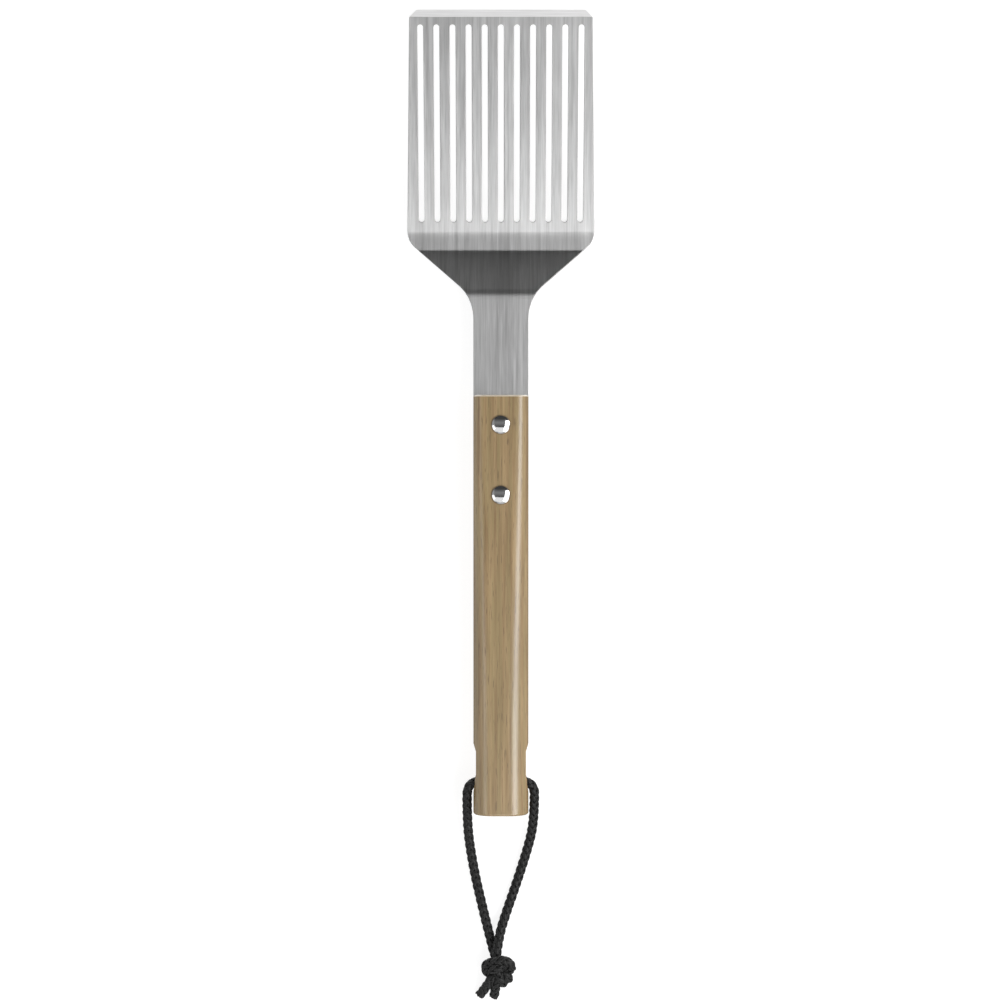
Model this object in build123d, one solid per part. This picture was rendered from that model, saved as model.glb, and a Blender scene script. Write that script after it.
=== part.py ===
from build123d import *
import os
from math import cos, radians, sin, tan

# A grill spatula: one cranked stainless sheet is both the slotted blade and the tang, two cutler's
# rivets hold the tang in a slotted wooden handle, and a knotted cord loop hangs from the butt.
# Millimetres. +Z is up off the table, +Y runs from the handle to the blade, x = 0 is the middle plane.
# y = 0 is half-way from the blade's edge to the butt. z = 0 is the table under the heel and rivets.

# Whole object, without the cord
overall_length = 435.5
half_length = overall_length / 2

# Rivets: domed heads, a barrel on the upper half and a pin on the lower half
head_radius = 4.85
head_height = 2.2
head_rim = 0.85
barrel_radius = 2.0
barrel_bore_radius = 1.25
pin_radius = 1.22
barrel_end_gap = 0.3
pin_end_gap = 0.6
rivet_hole_radius = 2.1
rivet_setback = 16.2
rivet_spacing = 38.0

# Handle: a rounded bar of wood that gets rounder towards the butt
handle_length = 228.1
handle_width = 30.0
handle_thickness = 22.0
handle_sections = [(0.0, 6.6), (55.0, 7.6), (125.0, 9.8), (165.0, 10.7), (handle_length, 10.8)]
front_edge_break = 0.5
butt_rounding = 1.3
waist_depth = 1.4
waist_start = 189.3
waist_ramp = 4.2
waist_length = 22.0
waist_corner_radius = 3.0
tang_slot_depth = 66.0

# Cord hole, straight across the handle with trumpet mouths
cord_hole_setback = 18.0
cord_hole_radius = 2.9
cord_mouth_radius = 3.5

# Sheet metal, as its side view: blade, flat heel band, neck and tang
sheet = 1.5
blade_tilt = 13.0
blade_bend_y = 98.6
neck_bend_y = 90.55
shank_bend_y = 65.55
blade_bend_radius = 24.0
neck_bend_radius = 4.0
shank_bend_radius = 11.0
tang_end_gap = 0.5
tang_corner_radius = 2.0
edge_rounding = 0.22

# Sheet metal, as its plan
tip_width = 99.0
heel_width = 103.2
tip_chamfer = 4.0
tip_corner_radius = 1.4
shoulder_y = 96.45
shoulder_radius = 11.5
shank_flare_y = 63.35
shank_flare_radius = 25.0

# The front lip is ground down on its upper face
lip_length = 3.9
lip_edge = 0.5

# Slots, round-ended and parallel
slot_count = 11
slot_pitch = 8.715
slot_width = 3.15
slot_front_y = 210.15
slot_back_y = 106.55

# Cord
cord_diameter = 5.0
cord_arc_share = 0.45

handle_bottom = head_height
handle_middle = handle_bottom + handle_thickness / 2
handle_top = handle_bottom + handle_thickness
handle_front = handle_length - half_length
tang_end = handle_front - tang_slot_depth + tang_end_gap
cord_hole_y = cord_hole_setback - half_length
rivet_ys = {"front": handle_front - rivet_setback, "rear": handle_front - rivet_setback - rivet_spacing}

# The cord's route from its left end in the knot, through the handle, to its right end in the knot
cord_route = [
    (-3.2, -297.95, 3.9),
    (-5.4, -289.45, 3.0),
    (-8.2, -278.45, 2.6),
    (-11.1, -266.45, 2.5),
    (-14.0, -253.95, 2.55),
    (-16.3, -241.45, 3.0),
    (-17.9, -229.95, 5.0),
    (-18.4, -219.45, 8.4),
    (-18.5, -210.95, 11.6),
    (-18.4, -203.55, 13.1),
    (-14.7, -199.85, 13.3),
    (-5.0, -199.7, 13.1),
    (5.5, -199.85, 13.25),
    (14.7, -199.8, 13.3),
    (18.4, -203.8, 13.1),
    (18.2, -210.95, 11.5),
    (18.0, -219.45, 8.5),
    (16.9, -229.45, 5.0),
    (14.1, -239.95, 3.0),
    (10.8, -250.45, 2.55),
    (6.8, -262.45, 2.5),
    (2.2, -275.45, 3.3),
    (-1.3, -286.45, 7.3),
    (-2.9, -297.95, 10.0),
]

# The knot and the two short tails that come out of it
knot_centre = Vector(-0.5, -304.5, 6.8)
knot_size = (17.6, 15.6, 13.6)
knot_rounding = 5.6
tails = {
    "left_tail": [(-3.6, -310.6, 4.4), (-8.0, -315.0, 3.3), (-11.8, -319.0, 2.6)],
    "right_tail": [(3.0, -310.2, 7.0), (-0.2, -315.0, 4.8), (-4.2, -319.6, 2.6)],
}


def mitred(corners, rise):
    """Corners of the line that runs parallel to an open polyline in the YZ plane, rise above it."""
    runs = [(b - a).normalized() for a, b in zip(corners, corners[1:])]
    normals = [Vector(0, run.Z, -run.Y) for run in runs]
    before = normals[:1] + normals
    after = normals + normals[-1:]
    return [
        corner + (a + b) * (rise / (1 + a.dot(b)))
        for corner, a, b in zip(corners, before, after)
    ]


def sheet_side_view():
    """The bent sheet's section in the YZ plane, its front edge ground to a lip."""
    slope = tan(radians(blade_tilt))
    tang_bottom = handle_middle - sheet / 2
    under = [
        Vector(0, half_length, (half_length - blade_bend_y) * slope),
        Vector(0, blade_bend_y, 0),
        Vector(0, neck_bend_y, 0),
        Vector(0, shank_bend_y, tang_bottom),
        Vector(0, tang_end, tang_bottom),
    ]
    over = mitred(under, sheet)
    down_blade = (under[1] - under[0]).normalized()
    lip_top = under[0] + Vector(0, down_blade.Z, -down_blade.Y) * lip_edge
    over[0] = over[0] + down_blade * lip_length
    under_line = FilletPolyline(
        *under,
        radius=[blade_bend_radius + sheet, neck_bend_radius + sheet, shank_bend_radius],
    )
    over_line = FilletPolyline(
        *over,
        radius=[blade_bend_radius, neck_bend_radius, shank_bend_radius + sheet],
    )
    front = Polyline(under[0], lip_top, over[0])
    back = Line(under[-1], over[-1])
    return make_face([*under_line.edges(), *over_line.edges(), *front.edges(), back])


def sheet_plan():
    """The sheet's outline from above: a flared blade with round shoulders, then the straight tang."""
    right = [
        (tip_width / 2 - tip_chamfer, half_length, tip_corner_radius),
        (tip_width / 2, half_length - tip_chamfer, tip_corner_radius),
        (heel_width / 2, shoulder_y, shoulder_radius),
        (handle_width / 2, shank_flare_y, shank_flare_radius),
        (handle_width / 2, tang_end, tang_corner_radius),
    ]
    left = [(-x, y, radius) for x, y, radius in reversed(right)]
    outline = right + left
    return make_face(
        FilletPolyline(
            *[(x, y) for x, y, _ in outline],
            radius=[radius for _, _, radius in outline],
            close=True,
        )
    )


def blade_slots():
    """Prisms for the blade's slots, square to its tilted face."""
    tilt = radians(blade_tilt)
    face = Plane(
        origin=(0, blade_bend_y, 0),
        x_dir=(1, 0, 0),
        z_dir=(0, -sin(tilt), cos(tilt)),
    )
    front, back = ((y - blade_bend_y) / cos(tilt) for y in (slot_front_y, slot_back_y))
    places = [(k - (slot_count - 1) / 2) * slot_pitch for k in range(slot_count)]
    slot = SlotOverall(front - back, slot_width, rotation=90)
    slots = [face * Pos(x, (front + back) / 2) * slot for x in places]
    return [extrude(outline, amount=4 * sheet, both=True) for outline in slots]


def rivet_hole(y):
    """A hole right through the handle and tang."""
    return Pos(0, y, handle_middle) * Cylinder(rivet_hole_radius, 2 * handle_thickness)


def upper_rim(body):
    """Edges all round the sheet's upper face and its slots, up to the ground lip."""
    upper = body.faces().filter_by(lambda face: face.normal_at().Z > 0.5)
    lip_start = half_length - tip_chamfer
    behind_lip = body.edges().filter_by(lambda edge: edge.bounding_box().max.Y < lip_start)
    return [edge for edge in behind_lip if sum(edge in face.edges() for face in upper) == 1]


def make_blade_and_tang():
    """The one stainless sheet: ground lip, slotted blade, heel band, neck, shank and tang."""
    body = extrude(sheet_side_view(), amount=heel_width, both=True)
    body &= extrude(sheet_plan(), amount=4 * handle_thickness, both=True)
    body -= blade_slots()
    body = fillet(upper_rim(body), edge_rounding)
    return body - [rivet_hole(y) for y in rivet_ys.values()]


def handle_section(setback, corner_radius):
    """The handle's section that far behind its front end."""
    place = Plane(
        origin=(0, handle_front - setback, handle_middle),
        x_dir=(1, 0, 0),
        z_dir=(0, -1, 0),
    )
    return place * RectangleRounded(handle_width, handle_thickness, corner_radius)


def waist_cutter(side):
    """What the shallow finger groove takes off one side of the handle, just ahead of the cord hole."""
    outside = handle_width / 2
    inside = outside - waist_depth
    clear = outside + waist_depth
    start = handle_front - waist_start
    end = start - waist_length
    outline = FilletPolyline(
        (clear, start + waist_ramp),
        (inside, start - waist_ramp),
        (inside, end + waist_ramp),
        (clear, end - waist_ramp),
        radius=waist_corner_radius,
    )
    closing = Line(outline @ 1, outline @ 0)
    cutter = extrude(make_face([*outline.edges(), closing]), amount=2 * handle_thickness, both=True)
    return cutter if side > 0 else mirror(cutter, about=Plane.YZ)


def cord_hole():
    """The cross hole for the cord, its mouths opened out by a quarter round."""
    half_width = handle_width / 2
    mouth = cord_hole_radius + cord_mouth_radius
    clear = half_width + 1
    straight = Line((0, cord_hole_radius), (half_width - cord_mouth_radius, cord_hole_radius))
    flare = JernArc(straight @ 1, straight % 1, cord_mouth_radius, 90)
    rest = Polyline(flare @ 1, (clear, mouth), (clear, 0), (0, 0), (0, cord_hole_radius))
    half = revolve(make_face([straight, flare, *rest.edges()]), axis=Axis.X)
    return Pos(0, cord_hole_y, handle_middle) * (half + mirror(half, about=Plane.YZ))


def make_handle():
    """The wooden handle with its sawn slot for the tang."""
    body = loft([handle_section(*section) for section in handle_sections])
    body = chamfer(body.faces().sort_by(Axis.Y)[-1].edges(), front_edge_break)
    body = fillet(body.faces().sort_by(Axis.Y)[0].edges(), butt_rounding)
    body -= [waist_cutter(side) for side in (-1, 1)]
    body -= cord_hole()
    body -= [rivet_hole(y) for y in rivet_ys.values()]
    slot = Box(2 * handle_width, 2 * tang_slot_depth, sheet)
    return body - Pos(0, handle_front, handle_middle) * slot


def rivet_half(*shank):
    """A domed head that stands on z = 0, on a shank of that outline below it, as (radius, z) pairs."""
    rise = head_height - head_rim
    dome_radius = (head_radius**2 + rise**2) / (2 * rise)
    dome = RadiusArc((0, head_height), (head_radius, head_rim), dome_radius)
    rest = Polyline((head_radius, head_rim), (head_radius, 0), *shank, (0, head_height))
    return Rot(90, 0, 0) * revolve(make_face([dome, *rest.edges()]), axis=Axis.Y)


def make_rivet_top(y):
    """The upper rivet half: domed head and hollow barrel."""
    end = barrel_end_gap - handle_thickness
    bore = [(barrel_bore_radius, end), (barrel_bore_radius, 0), (0, 0)]
    return Pos(0, y, handle_top) * rivet_half((barrel_radius, 0), (barrel_radius, end), *bore)


def make_rivet_bottom(y):
    """The lower rivet half: domed head and solid pin, which the barrel above takes."""
    end = pin_end_gap - handle_thickness
    upright = rivet_half((pin_radius, 0), (pin_radius, end), (0, end))
    return Pos(0, y, handle_bottom) * mirror(upright, about=Plane.XY)


def cord_tube(name, route):
    """A round cord along straight runs joined by tangent arcs, each as large as its runs allow."""
    points = [Vector(*point) for point in route]
    runs = [b - a for a, b in zip(points, points[1:])]
    radii = [
        cord_arc_share * min(a.length, b.length) / tan(radians(a.get_angle(b) / 2))
        for a, b in zip(runs, runs[1:])
    ]
    path = FilletPolyline(*points, radius=radii)
    section = Plane(origin=path @ 0, z_dir=path % 0) * Circle(cord_diameter / 2)
    tube = sweep(section, path=path)
    print(f"{name}: length {path.length:.1f} mm, tightest arc {min(radii):.1f} mm")
    print(f"{name}: radii {[round(radius, 1) for radius in radii]}")
    print(f"{name}: volume over section times length {tube.volume / (section.area * path.length):.4f}")
    return tube


def make_knot():
    """The knot's outer shape, as a rounded block lying on the table."""
    block = Box(*knot_size)
    return Pos(*knot_centre) * fillet(block.edges(), knot_rounding)


def main():
    pieces = {
        "blade_and_tang": make_blade_and_tang(),
        "handle": make_handle(),
        "lanyard_cord": cord_tube("lanyard_cord", cord_route),
        "lanyard_knot": make_knot(),
    }
    for place, y in rivet_ys.items():
        pieces[f"{place}_rivet_top"] = make_rivet_top(y)
        pieces[f"{place}_rivet_bottom"] = make_rivet_bottom(y)
    for name, route in tails.items():
        pieces[name] = cord_tube(name, route)
    for name, shape in pieces.items():
        export_step(shape, f"parts/{name}.step")


os.makedirs("parts", exist_ok=True)
main()
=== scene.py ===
from math import cos, pi, radians, sin

import bpy
import numpy as np
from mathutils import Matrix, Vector


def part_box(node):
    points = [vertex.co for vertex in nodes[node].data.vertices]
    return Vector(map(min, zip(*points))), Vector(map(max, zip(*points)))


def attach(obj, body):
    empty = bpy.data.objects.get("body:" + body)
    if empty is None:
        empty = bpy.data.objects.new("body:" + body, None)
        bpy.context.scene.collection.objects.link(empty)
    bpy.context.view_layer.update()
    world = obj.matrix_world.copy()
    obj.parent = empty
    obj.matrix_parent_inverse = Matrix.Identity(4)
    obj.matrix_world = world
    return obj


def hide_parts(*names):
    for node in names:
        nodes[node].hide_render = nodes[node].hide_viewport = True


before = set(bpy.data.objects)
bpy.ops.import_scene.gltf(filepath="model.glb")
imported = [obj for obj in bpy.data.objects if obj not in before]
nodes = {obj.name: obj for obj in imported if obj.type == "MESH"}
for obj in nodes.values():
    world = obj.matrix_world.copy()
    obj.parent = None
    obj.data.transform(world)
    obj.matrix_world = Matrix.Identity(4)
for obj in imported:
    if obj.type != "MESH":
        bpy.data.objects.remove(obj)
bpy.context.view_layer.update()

MM = 0.001

# Camera: straight above the tool, with +Y up the picture
CAMERA_HEIGHT = 1.2132
CAMERA_X = -0.5 * MM
CAMERA_Y = -46.55 * MM
FRAME_WIDTH = 0.5455
SENSOR_WIDTH = 36.0
HANDLE_MIDDLE = 13.2 * MM

# Cord: the loop's route, from its left end in the knot through the handle to its right end
CORD_ROUTE = [
    (-0.0040, -0.2947, 0.0036),
    (-0.0056, -0.28845, 0.0030),
    (-0.0082, -0.27845, 0.0026),
    (-0.0111, -0.26645, 0.0025),
    (-0.0140, -0.25395, 0.00255),
    (-0.0163, -0.24145, 0.0030),
    (-0.0179, -0.22995, 0.0050),
    (-0.0184, -0.21945, 0.0084),
    (-0.0185, -0.21095, 0.0116),
    (-0.0184, -0.20355, 0.0131),
    (-0.0147, -0.19985, 0.0133),
    (-0.0050, -0.1997, 0.0131),
    (0.0055, -0.19985, 0.01325),
    (0.0147, -0.1998, 0.0133),
    (0.0184, -0.2038, 0.0131),
    (0.0182, -0.21095, 0.0115),
    (0.0180, -0.21945, 0.0085),
    (0.0169, -0.22945, 0.0050),
    (0.0141, -0.23995, 0.0030),
    (0.0108, -0.25045, 0.00255),
    (0.0068, -0.26245, 0.0025),
    (0.0022, -0.27545, 0.0033),
    (-0.0010, -0.28545, 0.0071),
    (-0.0024, -0.2947, 0.0096),
]

# Knot: an overhand knot in both ends together, before it is pulled tight. The line is that of the
# pair's middle, from the loop to the tails, in millimetres from KNOT_MIDDLE.
KNOT_MIDDLE = np.array((3.6, -302.6, 7.5)) * MM
SLACK_KNOT = [
    (-3.5, 7.5, 0),
    (-2, 6, -2),
    (0, 4, -5),
    (0, 0, 0),
    (0, -5, 5),
    (-3, -11, 3),
    (-9, -14, -3),
    (-15, -10, -4),
    (-17, 0, 0),
    (-12, 7, 4),
    (-4, 8, 7),
    (3, 7, 7),
    (10, 5, 4),
    (15, 0, 0),
    (14, -7, -3),
    (8, -9, -5),
    (1, -6, -6),
    (-5, -6, -1),
    (-8, -9, 4),
    (-9, -13, 6),
    (-8.5, -16, 0),
]
TAIL_ENDS = np.array([(-11.8, -319.0, 2.6), (-4.2, -319.6, 2.6)]) * MM
TAIL_DIRECTIONS = np.array([(-0.7, -0.72, -0.1), (-0.62, -0.75, -0.2)])
TAIL_LENGTH = 12.0 * MM
TARGET_LENGTHS = np.array([72.0, 70.0]) * MM
KNOT_POINTS = 64
SQUEEZED_DIAMETER = 3.7 * MM
SQUEEZED_RADIUS = 2.6 * MM
PAIR_OFFSET = 0.52 * SQUEEZED_DIAMETER

# How the knot is pulled tight. The pull towards TARGET_LENGTHS is full after the share PULLED_AT of
# the steps. The cord's own thickness stops both strands before that, at about 80 mm. Points nearer
# along a strand than OWN_GAP don't push each other.
TIGHTENING_STEPS = 240
ROUNDS_EACH_STEP = 10
PULLED_AT = 0.8
STIFFNESS = 0.075
OVERSHOOT = 1.2
OWN_GAP = 1.5 * SQUEEZED_DIAMETER
SMOOTHING_ROUNDS = 8

# Braid: four carriers wind each way round the cord, over two and under two. A carrier's rise and
# fall repeats after four crossings, and lags by WAVE_LAG of that.
CARRIERS = 4
CROSSINGS_PER_WAVE = 4
WAVE_LAG = 0.125
BRAID_PITCH = 15.6 * MM
CARRIER_RADIUS = 1.96 * MM
CARRIER_WAVE = 0.34 * MM
CARRIER_HALF_WIDTH = 1.06 * MM
CARRIER_HALF_HEIGHT = 0.5 * MM
CARRIER_SIDES = 8
CORE_RADIUS = 1.6 * MM
CORE_SIDES = 20
RING_SPACING = 0.4 * MM

# Melted face of a cut end, from its rim inwards: radius and rise past the end, in millimetres
MELTED_END = [(2.1, -0.9), (2.38, -0.5), (2.42, 0.0), (2.3, 0.22), (1.9, 0.34), (1.0, 0.42), (0.3, 0.44)]

# Steel. The lip's figures are for the ground strip along the blade's front edge.
STEEL_GREYS = (0.47, 0.64)
STEEL_ROUGHNESS = (0.33, 0.40)
STEEL_ANISOTROPY = 0.9
STEEL_EDGE_TINT = 0.1
STREAK_RANGE = (0.75, 1.25)
LIP_DEPTH = 4.0 * MM
LIP_GREYS = (0.86, 0.96)
LIP_ROUGHNESS = 0.7
LIP_METALLIC = 0.35
RIVET_GREYS = (0.54, 0.64)
RIVET_ROUGHNESS = (0.06, 0.14)

# Wood
PALE_WOOD = (0.405, 0.277, 0.133, 1.0)
BROWN_WOOD = (0.243, 0.152, 0.063, 1.0)
OLIVE_WOOD = (0.312, 0.238, 0.104, 1.0)
DARK_WOOD = (0.14, 0.088, 0.042, 1.0)
# Painted highlight: a pale band along the handle's front arris, in this colour, reaching this deep from the
# front
FRONT_HIGHLIGHT_WOOD = (0.60, 0.52, 0.40, 1.0)
FRONT_HIGHLIGHT_DEPTH = 0.9 * MM
# Painted shade: a dark ring on the wood round each rivet head, this wide, and this dark at the head's rim
SHADE_RING_WIDTH = 0.8 * MM
SHADE_RING_STRENGTH = 0.75
WOOD_ROUGHNESS = (0.36, 0.5)
LACQUER_ROUGHNESS = 0.27
LACQUER_IOR = 1.68

# Cord surface
CORD_GREYS = (0.003, 0.028)
CORD_ROUGHNESS = 0.5
CORD_SPECULAR = 0.3
CORD_SHEEN = 0.05
CORD_SHEEN_ROUGHNESS = 0.4

# Studio: the floor lies just under the tool, and glows so that it looks white
FLOOR_HALF_WIDTH = 4.0
FLOOR_DROP = 0.02 * MM
FLOOR_GREY = 0.3
FLOOR_ROUGHNESS = 0.9
FLOOR_GLOW = 0.85
BACKDROP_BRIGHTNESS = 0.95
SOFTBOXES = [
    dict(name="front", polar=33.6, azimuth=-90, distance=1.9, length=4.0, height=1.12, radiance=1.12),
    dict(name="right", polar=41, azimuth=-14, distance=1.5, length=2.2, height=0.75, radiance=4.0),
    dict(name="left", polar=51, azimuth=198, distance=1.6, length=0.7, height=0.4, radiance=1.5),
]


def make_camera():
    data = bpy.data.cameras.new("camera")
    data.sensor_width = SENSOR_WIDTH
    data.lens = SENSOR_WIDTH * (CAMERA_HEIGHT - HANDLE_MIDDLE) / FRAME_WIDTH
    camera = bpy.data.objects.new("camera", data)
    camera.location = (CAMERA_X, CAMERA_Y, CAMERA_HEIGHT)
    bpy.context.scene.collection.objects.link(camera)
    bpy.context.scene.camera = camera


# Cord


def spline_points(control_points):
    """Points along the smooth NURBS line with these control points."""
    curve = bpy.data.curves.new("line", "CURVE")
    curve.dimensions = "3D"
    spline = curve.splines.new("NURBS")
    spline.points.add(len(control_points) - 1)
    for point, place in zip(spline.points, control_points):
        point.co = (*place, 1.0)
    spline.order_u = 3
    spline.use_endpoint_u = True
    holder = bpy.data.objects.new("line", curve)
    mesh = bpy.data.meshes.new_from_object(holder)
    points = np.array([vertex.co for vertex in mesh.vertices])
    bpy.data.objects.remove(holder)
    bpy.data.curves.remove(curve)
    bpy.data.meshes.remove(mesh)
    return points


def unit(vectors):
    return vectors / np.linalg.norm(vectors, axis=-1, keepdims=True)


def evenly(points, count):
    """That many points at equal distances along a line, and the line's length."""
    steps = np.linalg.norm(np.diff(points, axis=0), axis=1)
    along = np.concatenate(([0.0], np.cumsum(steps)))
    places = np.linspace(0.0, along[-1], count)
    even = np.stack([np.interp(places, along, points[:, k]) for k in range(3)], axis=1)
    return even, along[-1]


def slack_strands(loop):
    """The two cord ends lying side by side along the slack knot, each from the loop to its tail."""
    middle = spline_points([KNOT_MIDDLE + np.array(place) * MM for place in SLACK_KNOT])
    along = np.gradient(middle, axis=0)
    aside = unit(np.stack([-along[:, 1], along[:, 0], 0 * along[:, 0]], axis=1))
    strands = []
    for side, start, end in ((-1, loop[0], TAIL_ENDS[0]), (1, loop[-1], TAIL_ENDS[1])):
        beside = middle + side * PAIR_OFFSET * aside
        strands.append(evenly(np.vstack([start, beside, end]), KNOT_POINTS))
    return np.array([line for line, _ in strands]), np.array([length for _, length in strands])


def hold_lengths(strands, step):
    """Moves neighbouring points towards being that step apart, first the even pairs, then the odd."""
    for first in (0, 1):
        a = strands[:, first:-1:2]
        b = strands[:, first + 1 :: 2]
        apart = b - a
        distance = np.linalg.norm(apart, axis=2, keepdims=True)
        shift = apart * (0.5 * (1 - step[:, None, None] / distance))
        a += shift
        b -= shift


def push_apart(strands, own_gap):
    """The strands with touching points moved towards being one squeezed diameter apart. Points within
    own_gap of each other along one strand don't count as touching."""
    points = strands.reshape(-1, 3)
    apart = points[:, None] - points[None]
    distance = np.linalg.norm(apart, axis=2) + 1e-9
    order = np.arange(len(points))
    same = (order[:, None] < KNOT_POINTS) == (order[None] < KNOT_POINTS)
    neighbours = same & (abs(order[:, None] - order[None]) <= own_gap)
    touching = (distance < SQUEEZED_DIAMETER) & ~neighbours
    push = np.where(touching, 0.5 * (SQUEEZED_DIAMETER - distance) / distance, 0.0)
    total = (push[..., None] * apart).sum(axis=1)
    share = np.maximum(touching.sum(axis=1), 1)[:, None]
    return (points + OVERSHOOT * total / share).reshape(strands.shape)


def tighten(strands, lengths, starts, start_directions):
    """Pulls the slack knot tight on the floor, by shortening both strands a little at a time."""
    ends = (starts, TAIL_ENDS)
    directions = (start_directions, -unit(TAIL_DIRECTIONS))
    for step in range(TIGHTENING_STEPS):
        pulled = min(1.0, step / (PULLED_AT * TIGHTENING_STEPS))
        spacing = (lengths + (TARGET_LENGTHS - lengths) * pulled) / (KNOT_POINTS - 1)
        own_gap = int(np.ceil(OWN_GAP / spacing.min()))
        for _ in range(ROUNDS_EACH_STEP):
            hold_lengths(strands, spacing)
            middles = 0.5 * (strands[:, :-2] + strands[:, 2:])
            strands[:, 1:-1] += STIFFNESS * (middles - strands[:, 1:-1])
            strands = push_apart(strands, own_gap)
            strands[..., 2] = np.maximum(strands[..., 2], SQUEEZED_RADIUS)
            for place, inward in ((0, 1), (-1, -2)):
                strands[:, place] = ends[place]
                strands[:, inward] = ends[place] + directions[place] * spacing[:, None]
    return strands


def smoothed(points, rounds):
    """The line with small kinks taken out, and its ends where they were."""
    points = points.copy()
    for _ in range(rounds):
        points[1:-1] += 0.5 * (0.5 * (points[:-2] + points[2:]) - points[1:-1])
    return points


def cord_line():
    """The whole cord's middle line, tail to tail, and the points on it where the pieces start and end."""
    loop = spline_points(CORD_ROUTE)
    starts = np.array([loop[0], loop[-1]])
    start_directions = unit(np.array([loop[0] - loop[1], loop[-1] - loop[-2]]))
    strands, lengths = slack_strands(loop)
    left, right = tighten(strands, lengths, starts, start_directions)
    whole = np.vstack([left[::-1], loop[1:-1], right])
    left_length, right_length, total = (evenly(part, 2)[1] for part in (left, right, whole))
    whole, _ = evenly(whole, int(total / RING_SPACING))
    whole = smoothed(whole, SMOOTHING_ROUNDS)
    whole[:, 2] = np.maximum(whole[:, 2], SQUEEZED_RADIUS)
    from_left = (0, TAIL_LENGTH, left_length)
    from_right = (right_length, TAIL_LENGTH, 0)
    marks = [round(place / RING_SPACING) for place in from_left]
    marks += [len(whole) - 1 - round(place / RING_SPACING) for place in from_right]
    return whole, marks


def frames_along(line):
    """Two directions square to the line and to each other at each point, that don't twist round it."""
    along = unit(np.gradient(line, axis=0))
    across = np.zeros_like(line)
    across[0] = unit(np.cross(along[0], (0.0, 0.0, 1.0)))
    for k in range(1, len(line)):
        across[k] = across[k - 1] - along[k] * np.dot(along[k], across[k - 1])
        across[k] = unit(across[k])
    return across, np.cross(along, across)


class MeshParts:
    """Vertices and faces gathered for one mesh."""

    def __init__(self):
        self.vertices = []
        self.faces = []
        self.count = 0

    def add_rings(self, rings):
        """Joins closed rings of vertices, one after another, into a tube. rings is [ring, side, xyz]."""
        number, sides, _ = rings.shape
        index = self.count + np.arange(number * sides).reshape(number, sides)
        beside = np.roll(index, -1, axis=1)
        quads = np.stack([index[:-1], beside[:-1], beside[1:], index[1:]], axis=-1)
        self.vertices.append(rings.reshape(-1, 3))
        self.faces.extend(quads.reshape(-1, 4).tolist())
        self.count += number * sides

    def close(self, sides):
        """Fills the last ring added, which has that many sides, with one face."""
        self.faces.append(list(range(self.count - sides, self.count)))

    def build(self, name):
        mesh = bpy.data.meshes.new(name)
        mesh.from_pydata(np.vstack(self.vertices).tolist(), [], self.faces)
        mesh.shade_smooth()
        piece = bpy.data.objects.new(name, mesh)
        bpy.context.scene.collection.objects.link(piece)
        return piece


def circle(sides):
    angles = np.arange(sides) * 2 * pi / sides
    return np.cos(angles), np.sin(angles)


def add_core(parts, line, across, up, first, last):
    """The tube under the braid."""
    c, s = circle(CORE_SIDES)
    span = slice(first, last + 1)
    out = across[span, None] * c[None, :, None] + up[span, None] * s[None, :, None]
    parts.add_rings(line[span, None] + CORE_RADIUS * out)


def add_braid(parts, line, across, up, first, last):
    """The carriers over a stretch of the line. Each passes over two of the other hand, then under two."""
    along = np.arange(len(line)) * RING_SPACING
    crossings = 2 * CARRIERS * along / BRAID_PITCH
    c, s = circle(CARRIER_SIDES)
    span = slice(first, last + 1)
    for hand in (1, -1):
        for carrier in range(CARRIERS):
            angle = 2 * pi * (carrier / CARRIERS + hand * along / BRAID_PITCH)
            waves = (2 * carrier + hand * crossings) / CROSSINGS_PER_WAVE - WAVE_LAG
            wave = np.cos(2 * pi * waves)
            out = across * np.cos(angle)[:, None] + up * np.sin(angle)[:, None]
            middle = line + (CARRIER_RADIUS + hand * CARRIER_WAVE * wave)[:, None] * out
            ahead = unit(np.gradient(middle, axis=0))
            aside = unit(np.cross(out, ahead))
            outward = np.cross(ahead, aside)
            rings = middle[span, None] + CARRIER_HALF_WIDTH * c[None, :, None] * aside[span, None]
            rings = rings + CARRIER_HALF_HEIGHT * s[None, :, None] * outward[span, None]
            parts.add_rings(rings)


def add_melted_end(parts, line, across, up, end):
    """The flat fused face that closes a cut end, slightly domed, with a rounded rim."""
    inward = 1 if end == 0 else -1
    outward = unit(line[end] - line[end + inward])
    c, s = circle(CORE_SIDES)
    out = across[end] * c[:, None] + up[end] * s[:, None]
    rings = [line[end] + (radius * out + rise * outward) * MM for radius, rise in MELTED_END]
    parts.add_rings(np.array(rings))
    parts.close(CORE_SIDES)


def make_cord(material):
    """The braided cord as the loop, the knot and the two tails, one braid running through all four."""
    line, marks = cord_line()
    across, up = frames_along(line)
    tail_start, left_knot, left_loop, right_loop, right_knot, tail_end = marks
    spans = {
        "braided_loop": [(left_loop, right_loop)],
        "overhand_knot": [(left_knot, left_loop), (right_loop, right_knot)],
        "braided_left_tail": [(tail_start, left_knot)],
        "braided_right_tail": [(right_knot, tail_end)],
    }
    for name, stretches in spans.items():
        parts = MeshParts()
        for first, last in stretches:
            add_core(parts, line, across, up, first, last)
            add_braid(parts, line, across, up, first, last)
            if first == 0:
                add_melted_end(parts, line, across, up, 0)
            if last == len(line) - 1:
                add_melted_end(parts, line, across, up, last)
        piece = parts.build(name)
        piece.data.materials.append(material)
        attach(piece, "lanyard")
    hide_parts("lanyard_cord")
    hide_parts("lanyard_knot")
    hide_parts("left_tail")
    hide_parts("right_tail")


# Materials


def set_inputs(tree, node, inputs):
    """Sets a node's inputs to values, or links sockets to them."""
    for name, value in inputs.items():
        if isinstance(value, bpy.types.NodeSocket):
            tree.links.new(value, node.inputs[name])
        else:
            node.inputs[name].default_value = value


def add(tree, kind, inputs=(), **settings):
    """A shader node with its settings and inputs."""
    node = tree.nodes.new("ShaderNode" + kind)
    for name, value in settings.items():
        setattr(node, name, value)
    set_inputs(tree, node, dict(inputs))
    return node


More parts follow.
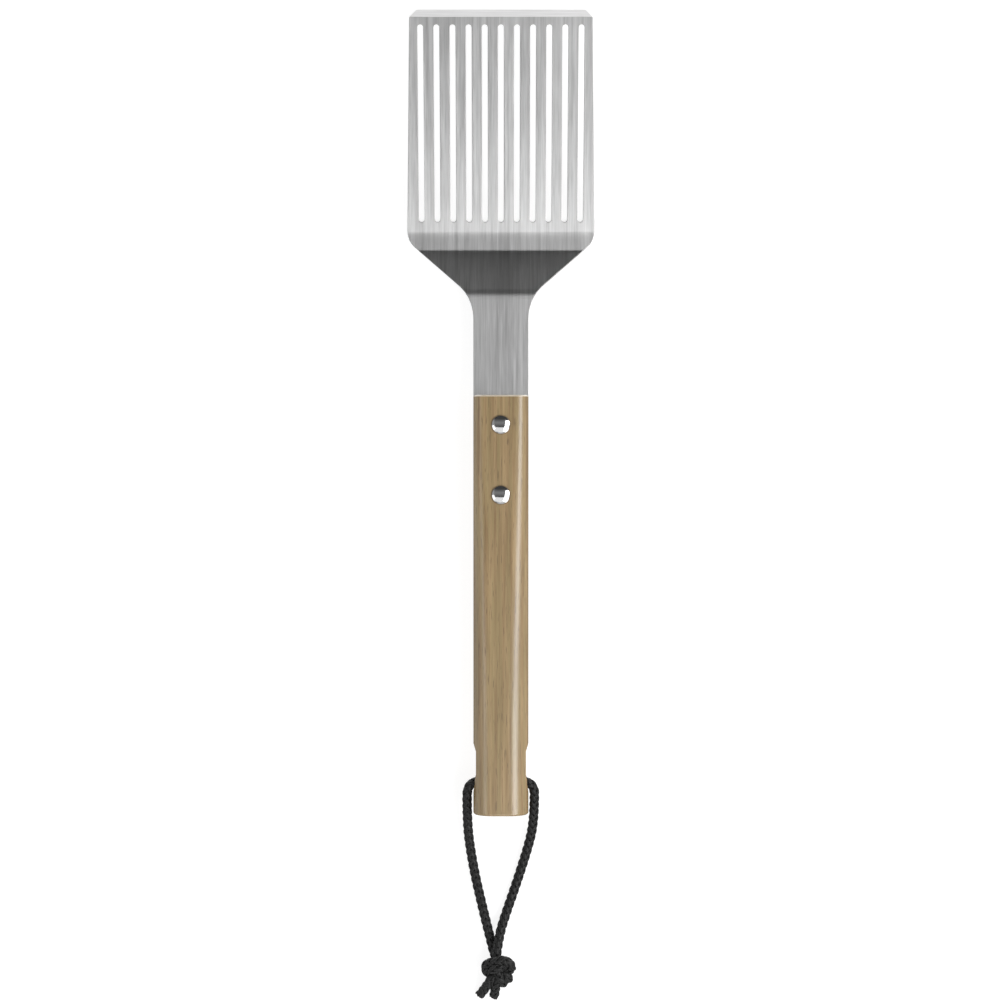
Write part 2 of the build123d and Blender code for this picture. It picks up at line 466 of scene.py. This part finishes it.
def new_material(name):
    material = bpy.data.materials.new(name)
    material.use_nodes = True
    tree = material.node_tree
    return material, tree, tree.nodes["Principled BSDF"]


def streaks(tree, scale, stretch, detail=4.0, roughness=0.6, seed=0.0):
    """Noise drawn out along an axis: stretch divides the pattern's scale along X, Y and Z."""
    where = add(tree, "TexCoord").outputs["Object"]
    size = tuple(scale / s for s in stretch)
    mapped = add(tree, "Mapping", {"Vector": where, "Scale": size, "Location": (seed, seed, seed)})
    noise = add(
        tree,
        "TexNoise",
        {"Vector": mapped.outputs[0], "Scale": 1.0, "Detail": detail, "Roughness": roughness},
    )
    return noise.outputs[0]


def ramp(tree, value, low, high, low_to=0.0, high_to=1.0):
    """value, mapped so that low gives low_to and high gives high_to, and held beyond them."""
    node = add(
        tree,
        "MapRange",
        {"Value": value, "From Min": low, "From Max": high, "To Min": low_to, "To Max": high_to},
    )
    return node.outputs[0]


def mix(tree, factor, a, b):
    node = add(tree, "Mix", {0: factor, 6: a, 7: b}, data_type="RGBA")
    return node.outputs[2]


def math(tree, operation, a, b):
    return add(tree, "Math", {0: a, 1: b}, operation=operation).outputs[0]


def place_on(tree, axis):
    """A surface point's coordinate along X, Y or Z, in metres."""
    where = add(tree, "TexCoord").outputs["Object"]
    return add(tree, "SeparateXYZ", {0: where}).outputs[axis]


def grey(value):
    return (value, value, value, 1.0)


LIP_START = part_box("blade_and_tang")[1][1] - LIP_DEPTH
HANDLE_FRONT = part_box("handle")[1][1]
RIVET_BOXES = [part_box(name) for name in ("front_rivet_top", "rear_rivet_top")]


def brushed_steel():
    """Stainless brushed along the tool, with the front lip ground crosswise and duller."""
    material, tree, shader = new_material("brushed_steel")
    on_lip = math(tree, "GREATER_THAN", place_on(tree, "Y"), LIP_START)
    fine = streaks(tree, 1500.0, (1, 32, 32), detail=3.0, seed=1.0)
    coarse = streaks(tree, 420.0, (1, 60, 60), detail=3.0, seed=5.0)
    lengthwise = math(tree, "ADD", fine, coarse)
    crosswise = streaks(tree, 2600.0, (60, 1, 1), detail=3.0, seed=8.0)
    dark, light = STEEL_GREYS
    body = mix(tree, ramp(tree, lengthwise, *STREAK_RANGE), grey(dark), grey(light))
    dark, light = LIP_GREYS
    lip = mix(tree, ramp(tree, crosswise, 0.35, 0.65), grey(dark), grey(light))
    roughness = ramp(tree, lengthwise, *STREAK_RANGE, *STEEL_ROUGHNESS)
    lip_roughness = math(tree, "MULTIPLY", on_lip, LIP_ROUGHNESS)
    across_grain = add(tree, "CombineXYZ", {"X": 1.0, "Y": 0.0, "Z": 0.0})
    inputs = {
        "Base Color": mix(tree, on_lip, body, lip),
        "Roughness": math(tree, "MAXIMUM", roughness, lip_roughness),
        "Tangent": across_grain.outputs[0],
        "Metallic": ramp(tree, on_lip, 0.0, 1.0, 1.0, LIP_METALLIC),
        "Anisotropic": STEEL_ANISOTROPY,
        "Specular Tint": grey(STEEL_EDGE_TINT),
    }
    set_inputs(tree, shader, inputs)
    return material


def polished_steel():
    material, tree, shader = new_material("polished_steel")
    haze = streaks(tree, 900.0, (1, 1, 1), seed=2.0)
    dark, light = RIVET_GREYS
    inputs = {
        "Base Color": mix(tree, haze, grey(dark), grey(light)),
        "Roughness": ramp(tree, haze, 0.3, 0.7, *RIVET_ROUGHNESS),
        "Metallic": 1.0,
    }
    set_inputs(tree, shader, inputs)
    return material


def sum_of_squares(tree, a, b):
    return math(tree, "ADD", math(tree, "MULTIPLY", a, a), math(tree, "MULTIPLY", b, b))


def painted_rivet_shade(tree, low, high):
    """How much painted shade darkens the wood in a ring beside a rivet head, given the head's box."""
    middle = [(low[k] + high[k]) / 2 for k in (0, 1)]
    across = math(tree, "SUBTRACT", place_on(tree, "X"), middle[0])
    along = math(tree, "SUBTRACT", place_on(tree, "Y"), middle[1])
    distance = math(tree, "SQRT", sum_of_squares(tree, across, along), 0.0)
    rim = (high[0] - low[0]) / 2
    return ramp(tree, distance, rim, rim + SHADE_RING_WIDTH, SHADE_RING_STRENGTH, 0.0)


def lacquered_wood():
    """Straight-grained hardwood under satin lacquer, with painted shade in a ring round each rivet head and
    a painted highlight along its front arris.
    """
    material, tree, shader = new_material("lacquered_wood")
    bands = streaks(tree, 260.0, (1, 26, 1.6), detail=5.0, seed=3.0)
    tints = streaks(tree, 420.0, (1, 45, 1), detail=2.0, seed=15.0)
    fibres = streaks(tree, 1300.0, (1, 50, 1), detail=4.0, seed=7.0)
    pores = streaks(tree, 1700.0, (1, 16, 1), detail=1.0, seed=11.0)
    base = mix(tree, ramp(tree, bands, 0.40, 0.60), BROWN_WOOD, PALE_WOOD)
    base = mix(tree, ramp(tree, tints, 0.45, 0.60, 0.0, 0.6), base, OLIVE_WOOD)
    base = mix(tree, ramp(tree, fibres, 0.48, 0.72, 0.0, 0.7), base, BROWN_WOOD)
    base = mix(tree, ramp(tree, pores, 0.63, 0.69, 0.0, 0.6), base, DARK_WOOD)
    # Painted shade: the wood is darkened in a ring round each rivet head
    for low, high in RIVET_BOXES:
        base = mix(tree, painted_rivet_shade(tree, low, high), base, DARK_WOOD)
    # Painted highlight: a pale band over the front of the handle, along its arris
    painted_front_highlight = math(tree, "GREATER_THAN", place_on(tree, "Y"), HANDLE_FRONT - FRONT_HIGHLIGHT_DEPTH)
    height = math(tree, "SUBTRACT", fibres, pores)
    bump = add(tree, "Bump", {"Height": height, "Strength": 0.25, "Distance": 0.06 * MM})
    inputs = {
        "Base Color": mix(tree, painted_front_highlight, base, FRONT_HIGHLIGHT_WOOD),
        "Roughness": ramp(tree, fibres, 0.3, 0.7, *WOOD_ROUGHNESS),
        "Normal": bump.outputs[0],
        "Coat Weight": 1.0,
        "Coat Roughness": LACQUER_ROUGHNESS,
        "Coat IOR": LACQUER_IOR,
    }
    set_inputs(tree, shader, inputs)
    return material


def black_cord():
    material, tree, shader = new_material("black_cord")
    fibre = streaks(tree, 1600.0, (1, 1, 1), detail=4.0, seed=4.0)
    dark, light = CORD_GREYS
    bump = add(tree, "Bump", {"Height": fibre, "Strength": 0.5, "Distance": 0.1 * MM})
    inputs = {
        "Base Color": mix(tree, ramp(tree, fibre, 0.42, 0.66), grey(dark), grey(light)),
        "Normal": bump.outputs[0],
        "Roughness": CORD_ROUGHNESS,
        "Specular IOR Level": CORD_SPECULAR,
        "Sheen Weight": CORD_SHEEN,
        "Sheen Roughness": CORD_SHEEN_ROUGHNESS,
    }
    set_inputs(tree, shader, inputs)
    return material


# Studio


def make_floor():
    mesh = bpy.data.meshes.new("floor")
    half = FLOOR_HALF_WIDTH
    corners = [(-half, -half, 0), (half, -half, 0), (half, half, 0), (-half, half, 0)]
    mesh.from_pydata(corners, [], [(0, 1, 2, 3)])
    floor = bpy.data.objects.new("floor", mesh)
    floor.location.z = -FLOOR_DROP
    floor.visible_glossy = False
    bpy.context.scene.collection.objects.link(floor)
    material, tree, shader = new_material("floor")
    inputs = {
        "Base Color": grey(FLOOR_GREY),
        "Roughness": FLOOR_ROUGHNESS,
        "Emission Color": grey(1.0),
        "Emission Strength": FLOOR_GLOW,
    }
    set_inputs(tree, shader, inputs)
    mesh.materials.append(material)


def softbox(name, polar, azimuth, distance, length, height, radiance):
    """A light panel that faces the tool. polar is its angle from straight up and azimuth its angle
    from +X, both in degrees. Its length is level, and its height runs up and over the tool."""
    data = bpy.data.lights.new(name, "AREA")
    data.shape = "RECTANGLE"
    data.size = length
    data.size_y = height
    data.energy = radiance * pi * length * height
    light = bpy.data.objects.new(name, data)
    polar, azimuth = radians(polar), radians(azimuth)
    away = Vector((sin(polar) * cos(azimuth), sin(polar) * sin(azimuth), cos(polar)))
    light.location = away * distance
    light.rotation_euler = away.to_track_quat("Z", "Y").to_euler()
    light.visible_camera = False
    bpy.context.scene.collection.objects.link(light)


def make_world():
    """A studio that is dim overhead, dimmer high towards +Y, bright at the +Y horizon, and paler low
    on the other three sides. The camera sees a plain pale backdrop. Each ramp gives the brightness
    between two values of the direction's x, y or z, which run from -1 to 1."""
    world = bpy.data.worlds.new("studio")
    bpy.context.scene.world = world
    world.use_nodes = True
    tree = world.node_tree
    direction = add(tree, "TexCoord").outputs["Generated"]
    x, y, z = add(tree, "SeparateXYZ", {0: direction}).outputs
    overhead = ramp(tree, y, -0.15, 0.2, 0.13, 0.28)
    overhead = math(tree, "MULTIPLY", overhead, ramp(tree, y, 0.3, 0.65, 1.0, 0.25))
    horizon = ramp(tree, z, 0.10, 0.19, 2.4, 0.0)
    horizon = math(tree, "MULTIPLY", horizon, ramp(tree, y, 0.3, 0.6))
    right_wall = ramp(tree, x, 0.82, 0.92, 0.0, 0.4)
    left_wall = ramp(tree, x, -0.75, -0.55, 0.45, 0.0)
    front_wall = ramp(tree, y, -0.78, -0.70, 0.70, 0.0)
    seen_by_camera = add(tree, "LightPath").outputs["Is Camera Ray"]
    backdrop = math(tree, "MULTIPLY", seen_by_camera, BACKDROP_BRIGHTNESS)
    light = overhead
    for part in (horizon, right_wall, left_wall, front_wall, backdrop):
        light = math(tree, "MAXIMUM", light, part)
    tree.links.new(light, tree.nodes["Background"].inputs["Color"])


def make_lights():
    make_world()
    for settings in SOFTBOXES:
        softbox(**settings)
    bpy.context.scene.view_settings.view_transform = "Standard"


def paint(names, material):
    for name in names:
        slots = nodes[name].data.materials
        slots.clear()
        slots.append(material)


make_camera()
make_floor()
make_lights()
make_cord(black_cord())
paint(["blade_and_tang"], brushed_steel())
paint([name for name in nodes if "rivet" in name], polished_steel())
paint(["handle"], lacquered_wood())
